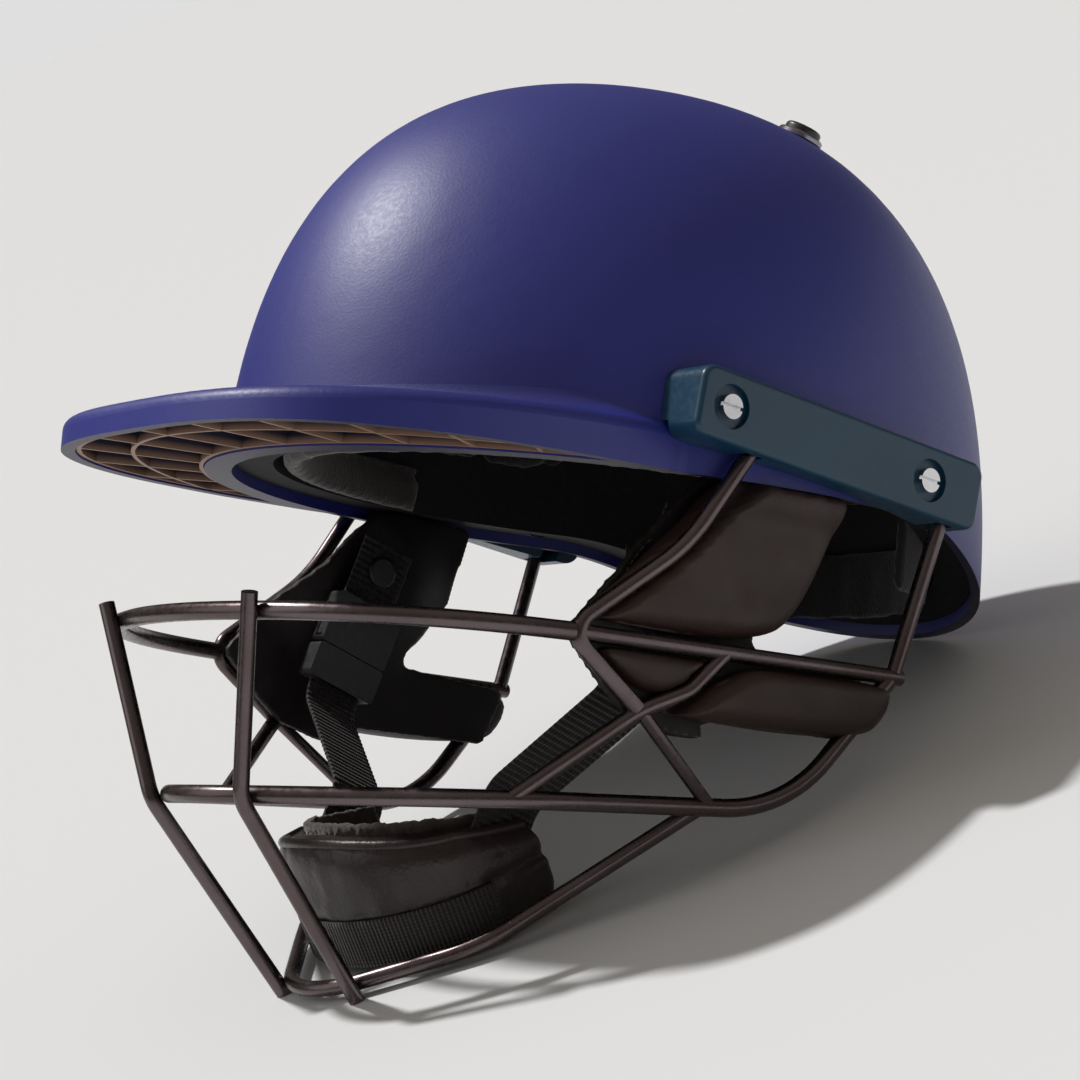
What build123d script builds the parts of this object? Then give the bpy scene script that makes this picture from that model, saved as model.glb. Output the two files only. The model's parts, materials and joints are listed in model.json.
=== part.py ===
from build123d import *
import os
from math import atan2, cos, degrees, hypot, radians, sin

os.makedirs("parts", exist_ok=True)

# All sizes are millimetres. The pieces are drawn as the helmet is worn: X to the wearer's left,
# Y to the back, Z up from the guard's side rails. The last section tips the whole helmet back
# until it rests on the guard's two feet and the rear rim of the shell.

# Outer shell: a dome of elliptical plan whose side profile is a superellipse.
shell_half_width = 101.0
shell_half_length = 130.0
shell_middle = -2.7
shell_top = 182.0
shell_waist = 27.0
shell_wall = 3.0
shell_power = 2.54
skirt_depth = 17.0
dome_level_shares = (0.0, 0.2, 0.4, 0.56, 0.7, 0.82, 0.91, 0.97, 0.9985)
edge_level = 49.0
nape_level = 25.0
nape_start = 52.0
nape_blend = 90.0

# Peak, moulded in one with the shell and hollow underneath.
peak_reach = 118.0
peak_root = -60.0
peak_half_width = 95.0
peak_power = 2.9
peak_root_level = 62.5
peak_profile = ((-200.0, 56.6), (-120.0, 61.0), (0.0, 63.4))
peak_tail = 40.0
peak_tuck = 17.0
rim_rounding = 4.0
root_rounding = 8.0
pocket_lip = 4.0
pocket_ceiling = 55.6
pocket_gap = 5.0

# Stiffening ribs set into the hollow of the peak.
rib_thickness = 1.3
rib_recess = 0.6
rib_gap = 0.3
rib_fan = 13
rib_fan_spread = 104.0
rib_rings = (14.0, 26.5)
ring_side_share = 0.2

# Padding inside the shell, from the wall inwards.
seat_gap = 0.3
liner_thickness = 12.0
pad_thickness = 5.5
liner_lift = 3.5
crown_pad_width = 92.0
crown_pad_length = 130.0
side_pad_length = 84.0
side_pad_height = 58.0
side_pad_level = 100.0
rear_pad_width = 96.0
rear_pad_height = 62.0
rear_pad_level = 98.0
pad_plan_corner = 16.0
sweatband_height = 17.0
sweatband_depth = 8.0
sweatband_gap = 2.2
sweatband_rounding = 3.2
sweatband_level = 59.0
sweatband_angle = 156.0
nape_band_height = 24.0
nape_band_depth = 4.0
nape_band_gap = 1.1
nape_band_rounding = 1.4
nape_band_angle = 116.0
nape_band_level = 41.0

# Vent buttons on the two shoulders of the crown.
vent_x = 31.0
vent_y = 38.0
vent_base_diameter = 15.0
vent_base_height = 2.2
vent_cap_diameter = 12.0
vent_cap_height = 2.4
vent_bore = 4.0
vent_slots = 8
vent_slot_diameter = 1.3
vent_seat = 0.05
vent_chamfer = 0.5

# Mount blocks that clamp the guard to the shell.
block_length = 110.0
block_height = 21.0
block_face = 108.5
block_middle = -0.65
block_level = 62.0
block_slope = 7.3
block_corner = 4.5
block_edge = 1.6
block_seat_depth = 26.0
block_gap = 0.25
recess_diameter = 13.0
recess_depth = 1.8
screw_positions = (-43.6, 33.9)
screw_shank = 4.0
screw_hole = 4.6
screw_head = 7.2
screw_head_height = 2.4
screw_slot = 1.1
screw_slot_depth = 1.2
screw_length = 16.5
block_pocket_length = 102.0
block_pocket_height = 15.0
plate_length = 100.0
plate_height = 12.0
plate_thickness = 2.0
plate_middle = 102.9
plate_corner = 2.0
plate_gap = 0.2
packer_gap = 0.2
nut_diameter = 11.0
nut_room_gap = 0.8
nut_faces = (87.9, 90.3)

# Face guard of welded titanium rods. Places are x, y, z of the rods' centre lines.
bar_diameter = 5.4
rod_diameter = 4.8
strut_diameter = 4.0
weld_seat = 1.1
weld_lap = 1.5
rail_level = -1.0
joint_place = (97.0, -83.6)
rail_end = (100.4, 33.4)
top_corner = (83.0, -138.0)
top_nose = -161.5
top_radii = (80.0, 120.0, 80.0)
mid_start = (100.2, 29.0, -2.4)
mid_corner = (96.0, -4.0, -43.5)
mid_cheek = (78.5, -97.0, -48.5)
mid_nose = (0.0, -157.0, -53.0)
mid_radii = (45.0, 70.0, 42.0, 70.0, 45.0)
low_cheek = (48.0, -73.0, -89.0)
low_nose = (0.0, -108.0, -110.0)
low_radii = (80.0, 30.0, 80.0)
upright_top = (41.0, -156.2, 3.4)
upright_bend = (25.4, -143.9, -53.4)
upright_foot = (19.6, -92.9, -110.6)
upright_radius = 14.0
foot_place = (-97.5, -108.5)
front_rod_middle = (100.6, -50.0, 27.5)
front_rod_bend = (96.9, -87.0, -0.8)
front_rod_radii = (60.0, 6.0)
cross_joint = (97.0, -60.0, -20.5)
front_rod_station = -27.5
rear_rod_station = 46.0
diagonal_middle = (98.3, -44.0, -13.5)
diagonal_radii = (12.0, 14.0)
low_share = 0.165
diagonal_rail_share = 0.44
diagonal_mid_share = 0.29
strut_share = 0.158
rear_rod_share = 0.975

# Ear guards: an inner lining that carries three moulded pads outside it.
lining_face = 84.0
lining_thickness = 2.6
upper_pad_face = 100.5
pad_lip_face = 103.6
front_pad_face = 98.0
rear_pad_face = 99.5
pad_rounding = 3.0
pad_corner = 3.2
rod_groove = 0.35

# Chin strap of webbing, hung on a stud on each lining.
strap_axis_y = -36.0
strap_axis_z = 30.0
strap_pivot_y = -67.0
strap_pivot_z = -62.0
strap_side = 79.5
strap_tongue = 41.0
strap_width = 20.0
strap_thickness = 1.6
strap_run = 48.0
strap_cross = 79.0
strap_bend = 10.0
stud_diameter = 4.6
stud_hole = 5.2
stud_head = 10.0
stud_head_height = 1.5
stud_flange = 12.0
stud_gap = 0.4
strap_round_share = 0.98

# Side-release buckle in the right half of the strap, measured down the strap.
buckle_top = 12.0
buckle_split = 30.0
buckle_end = 42.0
buckle_width = 26.0
buckle_thickness = 7.0
buckle_wall = 1.5
window_height = 9.0
prong_length = 15.0
prong_width = 4.4
prong_thickness = 3.2
prong_travel = 1.6
buckle_gap = 0.35
web_lap = 4.0
guide_length = 10.0
guide_width = 6.0
prong_root = 3.0
prong_corner = 0.8

# Chin cup, level when the helmet rests.
cup_half_width = 45.0
cup_depth = 34.0
cup_arm = 13.0
cup_wall = 9.0
cup_base = -23.4
cup_top = 8.5
cup_floor = 4.0
cup_rounding = 2.4
cup_tilt = 12.0
pocket_radius = 10.7
pocket_width = 2.5
lining_gap = 0.3
fleece_thickness = 2.0
fleece_rise = 1.6
sleeve_height = 15.0
sleeve_thickness = 1.8
sleeve_lift = 2.6
sleeve_end = 6.0
rivet_diameter = 3.0
rivet_hole = 4.2
rivet_head = 6.0
rivet_head_height = 1.2
rivet_inset = 3.5
# Outlines of the ear guard pieces, as y and z of their corners.
lining_outline = (
    (-35.0, 51.5),
    (-53.0, 32.0),
    (-73.0, 15.0),
    (-88.0, -1.0),
    (-71.0, -15.6),
    (-46.0, -33.0),
    (-34.0, -33.0),
    (-35.0, -21.0),
    (19.0, -21.0),
    (27.0, -2.0),
    (-20.0, 2.0),
    (0.0, 24.0),
    (8.0, 51.5),
)
upper_pad_outline = (
    (-29.0, 52.0),
    (-9.0, 52.0),
    (8.6, 49.4),
    (1.0, 24.0),
    (-16.0, 3.6),
    (-67.0, 3.6),
    (-61.5, 12.6),
    (-45.0, 27.6),
)
pad_lip_outline = ((-29.0, 52.0), (-9.0, 52.0), (8.6, 49.4), (6.6, 43.0), (-35.0, 43.0))
front_pad_outline = ((-76.0, -5.0), (-43.0, -5.0), (-55.0, -13.4), (-60.5, -14.9))
rear_pad_outline = (
    (-25.0, -5.0),
    (21.5, -5.0),
    (13.0, -15.0),
    (8.0, -21.5),
    (-30.0, -25.0),
    (-50.0, -21.5),
    (-41.0, -17.0),
)

def superellipse(half_x, half_y, power, count=9):
    """Points of a quarter superellipse, from the end of the x axis to the end of the y axis."""
    turns = [radians(90 * step / (count - 1)) for step in range(count)]
    return [
        (half_x * abs(cos(turn)) ** (2 / power), half_y * abs(sin(turn)) ** (2 / power))
        for turn in turns
    ]


def dome(inset):
    """The shell's outer form, drawn in by an inset and closed by flat ends."""
    half_width = shell_half_width - inset
    half_length = shell_half_length - inset
    rise = shell_top - shell_waist - inset
    with BuildPart() as solid:
        with BuildSketch(Plane.XY.offset(shell_waist - skirt_depth)):
            with Locations((0, shell_middle)):
                Ellipse(half_width, half_length)
        for level_share in dome_level_shares:
            width_share = (1 - level_share**shell_power) ** (1 / shell_power)
            with BuildSketch(Plane.XY.offset(shell_waist + rise * level_share)):
                with Locations((0, shell_middle)):
                    Ellipse(half_width * width_share, half_length * width_share)
        loft()
    return solid.part


def below_edge(lift):
    """The space below the shell's lower edge, raised by a lift."""
    reach = 2 * shell_half_length
    end = nape_start + 2 * (shell_middle + shell_half_length - nape_start)
    fall = 2 * (edge_level - nape_level)
    with BuildPart() as space:
        with BuildSketch(Plane.YZ):
            with BuildLine():
                edge = FilletPolyline(
                    (-reach, edge_level + lift),
                    (nape_start, edge_level + lift),
                    (end, edge_level + lift - fall),
                    radius=nape_blend,
                )
                Polyline(edge @ 1, (end, -reach), (-reach, -reach), edge @ 0)
            make_face()
        extrude(amount=2 * shell_half_width, both=True)
    return space.part


def peak_outline(inset=0):
    """Draws the plan of the peak, drawn in by an inset, its rear corners tucked into the dome."""
    points = superellipse(peak_half_width - inset, peak_reach - inset, peak_power)
    left = [(x, peak_root - y) for x, y in points]
    right = [(-x, y) for x, y in reversed(left)]
    front = Spline(*left, *right[1:], tangents=((0, -1), (0, 1)))
    tail = (peak_half_width - inset - peak_tuck, peak_root + peak_tail)
    TangentArc(front @ 0, tail, tangent=(0, 1))
    TangentArc(front @ 1, (-tail[0], tail[1]), tangent=(0, 1))
    Line(tail, (-tail[0], tail[1]))


def crown_plane(x, y):
    """The plane that touches the outer form above a place of the plan."""
    long_y = (y - shell_middle) / shell_half_length
    share = hypot(x / shell_half_width, long_y) ** shell_power
    height = (shell_top - shell_waist) * (1 - share) ** (1 / shell_power)
    lean = share / hypot(x / shell_half_width, long_y) ** 2
    return Plane(
        origin=(x, y, shell_waist + height),
        z_dir=(
            x / shell_half_width**2 * lean,
            long_y / shell_half_length * lean,
            (1 - share) / height,
        ),
    )


def band(inset, depth, level, height, angle, facing, rounding):
    """A padded band that follows the inside of the shell through part of a turn."""
    with BuildPart() as solid:
        with BuildLine(Plane.XY.offset(level)) as path:
            EllipticalCenterArc(
                (0, shell_middle),
                shell_half_width - inset,
                shell_half_length - inset,
                start_angle=facing - angle / 2,
                arc_size=angle,
            )
        start = path.line @ 0
        with BuildSketch(Plane(origin=start, x_dir=(0, 0, 1), z_dir=path.line % 0)):
            RectangleRounded(height, depth, rounding)
        sweep(path=path.line)
    return solid.part


def rod(places, radii, diameter):
    """A round rod along straight runs joined by arcs."""
    with BuildPart() as solid:
        with BuildLine() as path:
            if radii:
                FilletPolyline(*places, radius=list(radii))
            else:
                Line(*places)
        with BuildSketch(Plane(origin=path.line @ 0, z_dir=path.line % 0)):
            Circle(diameter / 2)
        sweep(path=path.line)
    return solid.part


def flipped(place):
    """The mirrored place on the wearer's right."""
    return (-place[0], place[1], place[2])


def ear_pad(outline, face):
    """A moulded pad outside the ear lining, with its outer edge rounded."""
    base = lining_face + lining_thickness + seat_gap
    with BuildPart() as pad:
        with BuildSketch(Plane.YZ.offset(base)):
            with BuildLine():
                Polyline(*outline, close=True)
            make_face()
            fillet(vertices(), pad_corner)
        extrude(amount=face - base)
        fillet(faces().sort_by(Axis.X)[-1].edges(), pad_rounding)
    return pad.part


# Shell with its peak
with BuildPart() as peak:
    with BuildSketch(Plane.XY.offset(edge_level)):
        with BuildLine():
            peak_outline()
        make_face()
    extrude(amount=peak_root_level)
    with BuildSketch(Plane.YZ):
        with BuildLine():
            rise = ThreePointArc(*peak_profile)
            Polyline(
                rise @ 1,
                ((rise @ 1).X, nape_level),
                ((rise @ 0).X, nape_level),
                rise @ 0,
            )
        make_face()
    extrude(amount=2 * shell_half_width, both=True, mode=Mode.INTERSECT)
    long_edges = peak.edges().filter_by(lambda edge: edge.length > 2 * peak_reach)
    fillet(long_edges.sort_by(Axis.Z)[-1], rim_rounding)

block_plane = Plane(
    origin=(block_face, block_middle, block_level),
    x_dir=(0, cos(radians(block_slope)), -sin(radians(block_slope))),
    z_dir=(1, 0, 0),
)
block_back = block_face - block_seat_depth
vent_plane = crown_plane(vent_x, vent_y)


def block_panel(length, height, corner, near, far):
    """A rounded panel on the block between two places along X."""
    with BuildPart() as panel:
        with BuildSketch(block_plane.offset(near - block_face)):
            RectangleRounded(length, height, corner)
        extrude(amount=far - near)
    return panel.part


def screw_bores(diameter, near, far):
    """Bores at the screws between two places along X."""
    with BuildPart() as bores:
        with BuildSketch(block_plane.offset(near - block_face)):
            with Locations(*[(station, 0) for station in screw_positions]):
                Circle(diameter / 2)
        extrude(amount=far - near)
    return bores.part


with BuildPart() as outer_shell:
    add(dome(0))
    add(peak.part)
    high_edges = outer_shell.edges().filter_by(
        lambda edge: edge.length > peak_reach and edge.center().Z > edge_level + rim_rounding
    )
    root_edge = high_edges.sort_by(lambda edge: abs(edge.center().Z - peak_root_level))[0]
    fillet(root_edge, root_rounding)
    add(dome(shell_wall), mode=Mode.SUBTRACT)
    add(below_edge(0), mode=Mode.SUBTRACT)
    with BuildSketch(Plane.XY.offset(nape_level)):
        with BuildLine():
            peak_outline(pocket_lip)
        make_face()
        with Locations((0, shell_middle)):
            Ellipse(
                shell_half_width + pocket_gap, shell_half_length + pocket_gap, mode=Mode.SUBTRACT
            )
    extrude(amount=pocket_ceiling - nape_level, mode=Mode.SUBTRACT)
    side_bores = screw_bores(screw_hole, 0, block_face)
    add(side_bores, mode=Mode.SUBTRACT)
    add(mirror(side_bores, about=Plane.YZ), mode=Mode.SUBTRACT)
    with BuildSketch(Plane.XY.offset(shell_waist)):
        with Locations((vent_x, vent_y), (-vent_x, vent_y)):
            Circle(vent_bore / 2)
    extrude(amount=shell_top, mode=Mode.SUBTRACT)
outer_shell.part.label = "outer_shell"

# Ribs in the hollow of the peak
def pocket_plan(inset):
    """The plan of the hollow of the peak, drawn in by an inset."""
    with BuildSketch() as plan:
        with BuildLine():
            peak_outline(pocket_lip + inset)
        make_face()
        with Locations((0, shell_middle)):
            Ellipse(
                shell_half_width + pocket_gap + inset,
                shell_half_length + pocket_gap + inset,
                mode=Mode.SUBTRACT,
            )
        add(plan.faces().sort_by(Axis.Y)[0], mode=Mode.REPLACE)
    return plan.sketch


with BuildPart() as peak_stiffener:
    with BuildSketch(Plane.XY.offset(edge_level + rib_recess)):
        for ring in rib_rings:
            with Locations((0, shell_middle)):
                Ellipse(
                    shell_half_width + pocket_gap + ring * ring_side_share,
                    shell_half_length + pocket_gap + ring,
                )
                Ellipse(
                    shell_half_width + pocket_gap + ring * ring_side_share - rib_thickness,
                    shell_half_length + pocket_gap + ring - rib_thickness,
                    mode=Mode.SUBTRACT,
                )
        for place in range(rib_fan):
            turn = rib_fan_spread * (place / (rib_fan - 1) - 1 / 2)
            with Locations(Location((0, shell_middle, 0), turn - 90)):
                with Locations((shell_half_length, 0)):
                    Rectangle(shell_half_length, rib_thickness)
        add(pocket_plan(rib_gap + rib_thickness), mode=Mode.INTERSECT)
        add(pocket_plan(rib_gap) - pocket_plan(rib_gap + rib_thickness))
    extrude(amount=pocket_ceiling - edge_level - rib_recess)
peak_stiffener.part.label = "peak_stiffener"

# Padding inside the shell
liner_outside = shell_wall + seat_gap
liner_inside = liner_outside + liner_thickness
pad_outside = liner_inside + seat_gap
pad_inside = pad_outside + pad_thickness

with BuildPart() as impact_liner:
    add(dome(liner_outside))
    add(dome(liner_inside), mode=Mode.SUBTRACT)
    add(below_edge(liner_lift), mode=Mode.SUBTRACT)
    nut_room = screw_bores(nut_diameter + 2 * nut_room_gap, min(nut_faces), block_face)
    add(nut_room, mode=Mode.SUBTRACT)
    add(mirror(nut_room, about=Plane.YZ), mode=Mode.SUBTRACT)
impact_liner.part.label = "impact_liner"

pad_layer = dome(pad_outside) - dome(pad_inside)

with BuildPart() as crown_pad:
    with BuildSketch(Plane.XY.offset(shell_waist)):
        with Locations((0, shell_middle)):
            RectangleRounded(crown_pad_width, crown_pad_length, pad_plan_corner)
    extrude(amount=shell_top)
    add(pad_layer, mode=Mode.INTERSECT)
crown_pad.part.label = "crown_pad"

with BuildPart() as side_pad_left:
    with BuildSketch(Plane.YZ):
        with Locations((shell_middle, side_pad_level)):
            RectangleRounded(side_pad_length, side_pad_height, pad_plan_corner)
    extrude(amount=shell_half_width)
    add(pad_layer, mode=Mode.INTERSECT)
side_pad_left.part.label = "side_pad_left"

with BuildPart() as rear_pad:
    with BuildSketch(Plane.XZ):
        with Locations((0, rear_pad_level)):
            RectangleRounded(rear_pad_width, rear_pad_height, pad_plan_corner)
    extrude(amount=-shell_half_length)
    add(pad_layer, mode=Mode.INTERSECT)
rear_pad.part.label = "rear_pad"

with BuildPart() as front_sweatband:
    add(
        band(
            pad_outside + sweatband_gap + sweatband_depth / 2,
            sweatband_depth,
            sweatband_level,
            sweatband_height,
            sweatband_angle,
            -90,
            sweatband_rounding,
        )
    )
front_sweatband.part.label = "front_sweatband"

with BuildPart() as nape_band:
    add(
        band(
            pad_outside + nape_band_gap + nape_band_depth / 2,
            nape_band_depth,
            nape_band_level,
            nape_band_height,
            nape_band_angle,
            90,
            nape_band_rounding,
        )
    )
nape_band.part.label = "nape_band"

# Vent buttons
with BuildPart() as vent_base_left:
    with BuildSketch(vent_plane.offset(vent_seat)):
        Circle(vent_base_diameter / 2)
        Circle(vent_bore / 2, mode=Mode.SUBTRACT)
    extrude(amount=vent_base_height)
    chamfer(faces().sort_by(Axis.Z)[-1].edges(), vent_chamfer)
vent_base_left.part.label = "vent_base_left"

with BuildPart() as vent_cap_left:
    with BuildSketch(vent_plane.offset(vent_base_height + vent_seat)):
        Circle(vent_cap_diameter / 2)
    extrude(amount=vent_cap_height)
    cap_rim = faces().filter_by(GeomType.PLANE).sort_by(Axis.Z)[-1]
    fillet(cap_rim.edges(), vent_cap_height / 2)
    with BuildSketch(vent_plane.offset(vent_base_height + vent_seat + vent_cap_height)):
        with PolarLocations(vent_cap_diameter / 4, vent_slots):
            Circle(vent_slot_diameter / 2)
    extrude(amount=-vent_cap_height / 2, mode=Mode.SUBTRACT)
vent_cap_left.part.label = "vent_cap_left"

# Face guard
plate_depth = block_face - plate_middle
front_rod_top = block_plane.from_local_coords(
    (front_rod_station, weld_lap - plate_height / 2, -plate_depth)
)
rear_rod_top = block_plane.from_local_coords(
    (rear_rod_station, weld_lap - plate_height / 2, -plate_depth)
)
rest_tilt = degrees(
    atan2(nape_level - foot_place[1], shell_middle + shell_half_length - foot_place[0])
)
floor_plane = Plane(
    origin=(0, *foot_place),
    x_dir=(1, 0, 0),
    z_dir=(0, -sin(radians(rest_tilt)), cos(radians(rest_tilt))),
)


def wire_through(places, radii):
    """The centre line of a rod."""
    with BuildLine() as path:
        if radii:
            FilletPolyline(*places, radius=list(radii))
        else:
            Line(*places)
    return Wire(path.edges())


def short_of(start, end):
    """The place on the way from start to end that leaves room for the saddle of a weld."""
    run = Vector(*end) - Vector(*start)
    return tuple(Vector(*end) - run.normalized() * weld_seat)


def along(places, radii, share):
    """The place at a share of a rod's centre line."""
    return tuple(wire_through(places, radii) @ share)


front_joint = (*joint_place, rail_level)
nose = (0, top_nose, rail_level)
brow = (*top_corner, rail_level)
rail_back = (*rail_end, rail_level)
top_start = short_of(brow, front_joint)
top_places = (top_start, brow, nose, flipped(brow), flipped(top_start))
rail_places = (short_of(rail_back, front_joint), rail_back)
mid_places = (
    mid_start,
    mid_corner,
    mid_cheek,
    mid_nose,
    flipped(mid_cheek),
    flipped(mid_corner),
    flipped(mid_start),
)
low_start = along(mid_places, mid_radii, low_share)
low_places = (low_start, low_cheek, low_nose, flipped(low_cheek), flipped(low_start))
diagonal_places = (
    short_of(diagonal_middle, along(rail_places, None, diagonal_rail_share)),
    diagonal_middle,
    cross_joint,
    along(mid_places, mid_radii, diagonal_mid_share),
)
strut_places = (cross_joint, along(mid_places, mid_radii, strut_share))
front_rod_places = (
    tuple(front_rod_top),
    front_rod_middle,
    front_rod_bend,
    short_of(front_rod_bend, cross_joint),
)
rear_rod_places = (
    tuple(rear_rod_top),
    short_of(rear_rod_top, along(rail_places, None, rear_rod_share)),
)
upright_places = (upright_top, upright_bend, upright_foot)

with BuildPart() as guard_plate_left:
    with BuildSketch(block_plane.offset(plate_thickness / 2 - plate_depth)):
        RectangleRounded(plate_length, plate_height, plate_corner)
        with Locations(*[(station, 0) for station in screw_positions]):
            Circle(screw_hole / 2, mode=Mode.SUBTRACT)
    extrude(amount=-plate_thickness)
guard_plate_left.part.label = "guard_plate_left"

with BuildPart() as side_rail_left:
    add(rod(rail_places, None, rod_diameter))
    add(rod(front_rod_places, front_rod_radii, rod_diameter), mode=Mode.SUBTRACT)
side_rail_left.part.label = "side_rail_left"

with BuildPart() as diagonal_rod_left:
    add(rod(diagonal_places, diagonal_radii, rod_diameter))
    add(side_rail_left.part, mode=Mode.SUBTRACT)
    add(rod(mid_places, mid_radii, bar_diameter), mode=Mode.SUBTRACT)
diagonal_rod_left.part.label = "diagonal_rod_left"

with BuildPart() as front_rod_left:
    add(rod(front_rod_places, front_rod_radii, rod_diameter))
    add(rod(diagonal_places, diagonal_radii, rod_diameter), mode=Mode.SUBTRACT)
    add(guard_plate_left.part, mode=Mode.SUBTRACT)
front_rod_left.part.label = "front_rod_left"

with BuildPart() as rear_rod_left:
    add(rod(rear_rod_places, None, rod_diameter))
    add(rod(rail_places, None, rod_diameter), mode=Mode.SUBTRACT)
    add(guard_plate_left.part, mode=Mode.SUBTRACT)
rear_rod_left.part.label = "rear_rod_left"

with BuildPart() as strut_left:
    add(rod(strut_places, None, strut_diameter))
    add(rod(diagonal_places, diagonal_radii, rod_diameter), mode=Mode.SUBTRACT)
    add(rod(mid_places, mid_radii, bar_diameter), mode=Mode.SUBTRACT)
    add(front_rod_left.part, mode=Mode.SUBTRACT)
strut_left.part.label = "strut_left"

with BuildPart() as rails_and_rods:
    add(rod(rail_places, None, rod_diameter))
    add(rod(front_rod_places, front_rod_radii, rod_diameter))
    mirror(about=Plane.YZ)

with BuildPart() as top_bar:
    add(rod(top_places, top_radii, bar_diameter))
    add(rails_and_rods.part, mode=Mode.SUBTRACT)
top_bar.part.label = "top_bar"

with BuildPart() as mid_bar:
    add(rod(mid_places, mid_radii, bar_diameter))
    add(rails_and_rods.part, mode=Mode.SUBTRACT)
mid_bar.part.label = "mid_bar"

with BuildPart() as low_bar:
    add(rod(low_places, low_radii, rod_diameter))
    add(mid_bar.part, mode=Mode.SUBTRACT)
low_bar.part.label = "low_bar"

with BuildPart() as upright_left:
    add(rod(upright_places, (upright_radius,), rod_diameter))
    add(top_bar.part, mode=Mode.SUBTRACT)
    add(mid_bar.part, mode=Mode.SUBTRACT)
    add(low_bar.part, mode=Mode.SUBTRACT)
    split(bisect_by=floor_plane, keep=Keep.TOP)
upright_left.part.label = "upright_left"

# Blocks, packers and fasteners
pocket_face = plate_middle + plate_thickness / 2 + plate_gap
packer_face = plate_middle - plate_thickness / 2 - plate_gap

with BuildPart() as seat_room:
    with BuildSketch(Plane.XY.offset(edge_level)):
        with BuildLine():
            peak_outline(-block_gap)
        make_face()
    extrude(amount=peak_root_level - edge_level + 2 * block_gap)
    add(dome(-block_gap))


def rod_slot(places):
    """A slot for a rod's upper end, through the lower wall of the block."""
    top, low = Vector(*places[0]), Vector(*places[1])
    run = Vector(0, low.Y - top.Y, low.Z - top.Z).normalized()
    slot_plane = Plane(
        origin=(block_back, top.Y, top.Z), x_dir=tuple(run), z_dir=(1, 0, 0)
    )
    with BuildPart() as slot:
        with BuildSketch(slot_plane):
            with Locations((block_height / 2 - rod_groove, 0)):
                Rectangle(block_height, rod_diameter + 2 * rod_groove)
        extrude(amount=plate_middle + rod_diameter / 2 + rod_groove - block_back)
    return slot.part


with BuildPart() as mount_block_left:
    add(block_panel(block_length, block_height, block_corner, block_back, block_face))
    fillet(mount_block_left.faces().sort_by(Axis.X)[-1].edges(), block_edge)
    add(
        block_panel(
            block_pocket_length, block_pocket_height, plate_corner, block_back, pocket_face
        ),
        mode=Mode.SUBTRACT,
    )
    add(screw_bores(recess_diameter, block_face - recess_depth, block_face), mode=Mode.SUBTRACT)
    add(screw_bores(screw_hole, block_back, block_face), mode=Mode.SUBTRACT)
    add(rod_slot(front_rod_places), mode=Mode.SUBTRACT)
    add(rod_slot(rear_rod_places), mode=Mode.SUBTRACT)
    add(seat_room.part, mode=Mode.SUBTRACT)
mount_block_left.part.label = "mount_block_left"

with BuildPart() as block_packer_left:
    add(
        block_panel(
            block_pocket_length - 2 * packer_gap,
            block_pocket_height - 2 * packer_gap,
            plate_corner,
            block_back,
            packer_face,
        )
    )
    add(screw_bores(screw_hole, block_back, block_face), mode=Mode.SUBTRACT)
    add(rod_slot(front_rod_places), mode=Mode.SUBTRACT)
    add(rod_slot(rear_rod_places), mode=Mode.SUBTRACT)
    add(seat_room.part, mode=Mode.SUBTRACT)
block_packer_left.part.label = "block_packer_left"

with BuildPart() as screws:
    head_plane = block_plane.offset(-recess_depth)
    with BuildSketch(head_plane):
        with Locations(*[(station, 0) for station in screw_positions]):
            Circle(screw_head / 2)
    extrude(amount=screw_head_height)
    with BuildSketch(head_plane):
        with Locations(*[(station, 0) for station in screw_positions]):
            Circle(screw_shank / 2)
    extrude(amount=-screw_length)
    with BuildSketch(head_plane.offset(screw_head_height)):
        with Locations(*[(station, 0) for station in screw_positions]):
            Rectangle(screw_head, screw_slot)
    extrude(amount=-screw_slot_depth, mode=Mode.SUBTRACT)
    mirror(about=Plane.YZ)
screws.part.label = "screws"

with BuildPart() as nuts:
    for station, nut_face in zip(screw_positions, nut_faces):
        with BuildSketch(block_plane.offset(nut_face - block_face)):
            with Locations((station, 0)):
                Circle(nut_diameter / 2)
                Circle(screw_shank / 2, mode=Mode.SUBTRACT)
        extrude(amount=nut_diameter)
    add(dome(shell_wall), mode=Mode.INTERSECT)
    mirror(about=Plane.YZ)
nuts.part.label = "nuts"

# Ear guards
with BuildPart() as shell_room:
    add(dome(-seat_gap))
    add(dome(shell_wall + seat_gap), mode=Mode.SUBTRACT)
    add(below_edge(-seat_gap), mode=Mode.SUBTRACT)

with BuildPart() as ear_lining_left:
    with BuildSketch(Plane.YZ.offset(lining_face)):
        with BuildLine():
            Polyline(*lining_outline, close=True)
        make_face()
        fillet(vertices(), pad_corner)
        with Locations((strap_axis_y, strap_axis_z)):
            Circle(stud_diameter / 2, mode=Mode.SUBTRACT)
    extrude(amount=lining_thickness)
ear_lining_left.part.label = "ear_lining_left"

with BuildPart() as ear_pad_upper_left:
    add(ear_pad(upper_pad_outline, upper_pad_face))
    add(ear_pad(pad_lip_outline, pad_lip_face))
    add(shell_room.part, mode=Mode.SUBTRACT)
ear_pad_upper_left.part.label = "ear_pad_upper_left"

with BuildPart() as ear_pad_front_left:
    add(ear_pad(front_pad_outline, front_pad_face))
ear_pad_front_left.part.label = "ear_pad_front_left"

with BuildPart() as ear_pad_rear_left:
    add(ear_pad(rear_pad_outline, rear_pad_face))
ear_pad_rear_left.part.label = "ear_pad_rear_left"

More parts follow.
